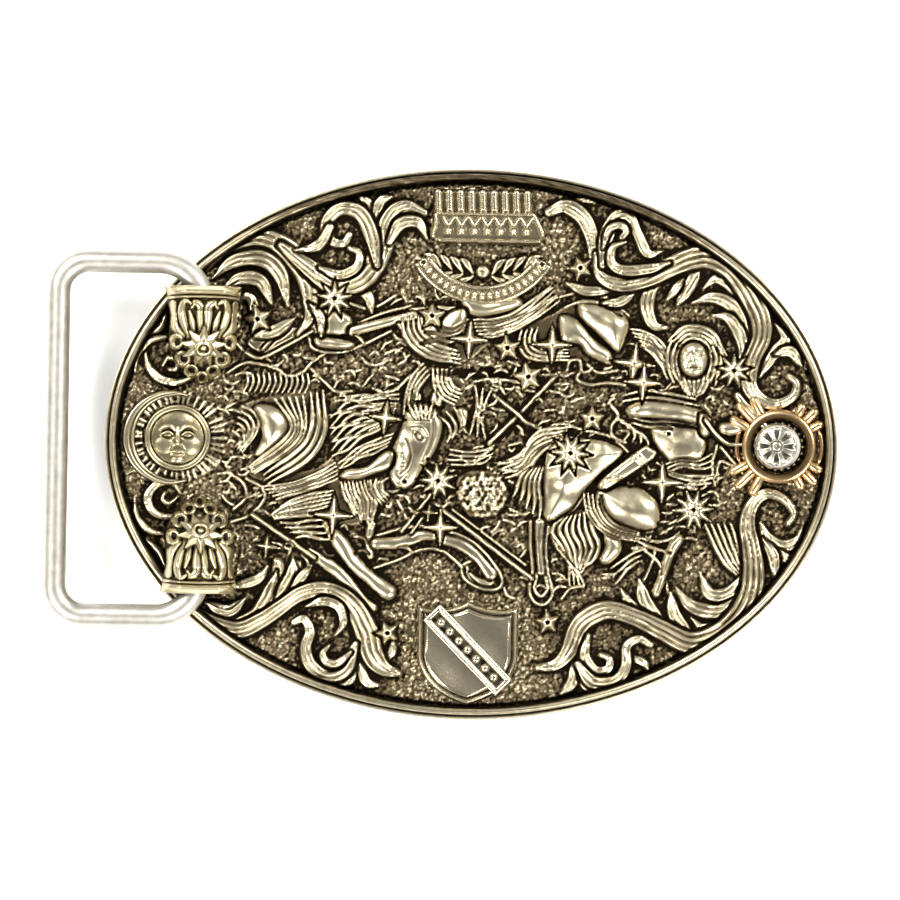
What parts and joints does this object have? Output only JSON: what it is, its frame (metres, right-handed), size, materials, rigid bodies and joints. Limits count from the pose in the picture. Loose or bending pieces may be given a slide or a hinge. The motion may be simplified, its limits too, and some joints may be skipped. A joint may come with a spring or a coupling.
{
  "type": "belt buckle",
  "caption": "Oval cast-metal belt buckle seen from its back, with a hinged wire bail for the strap, two ornamented lugs and a stud for the strap's holes.",
  "frame": {"origin": "middle of the flat panel on the front face, which is the lowest face as the buckle lies on its front", "axes": "+X from the bail to the stud, along the oval; +Z out of the back, towards the wearer; +Y across the strap"},
  "size_m": [0.0998, 0.0698, 0.0133],
  "materials": {
    "nickel_silver": "antiqued nickel silver, polished on the high spots and near black in the recesses",
    "lug_metal": "cast nickel silver, polished, lightly antiqued",
    "stud_silver": "polished white nickel silver, dark in the cuts",
    "collar_brass": "polished pale brass with a copper tone",
    "polished_trim": "polished nickel silver, no lettering",
    "bail_wire": "satin steel wire",
    "screw_steel": "plain steel, hidden between the plates"
  },
  "bodies": {
    "plate": {"front_plate": "nickel_silver", "back_plate": "nickel_silver", "upper_lug": "lug_metal", "lower_lug": "lug_metal", "upper_lug_star": "lug_metal", "lower_lug_star": "lug_metal", "lug_screw_1": "screw_steel", "lug_screw_2": "screw_steel", "lug_screw_3": "screw_steel", "lug_screw_4": "screw_steel", "stud_post": "lug_metal", "stud_head": "stud_silver", "stud_bead_ring": "lug_metal", "sun_collar": "collar_brass", "moon_disc": "lug_metal", "crescent": "nickel_silver", "crest_panel": "polished_trim", "ribbon_banner": "polished_trim", "shield": "polished_trim", "shield_band": "polished_trim"},
    "bail": {"bail": "bail_wire"}
  },
  "joints": [
    {"name": "bail_hinge", "type": "hinge", "parent": "plate", "child": "bail", "pos_m": [-0.03394, 0, 0.00857], "axis": [0, 1, 0], "range_deg": [0, 180]}
  ]
}
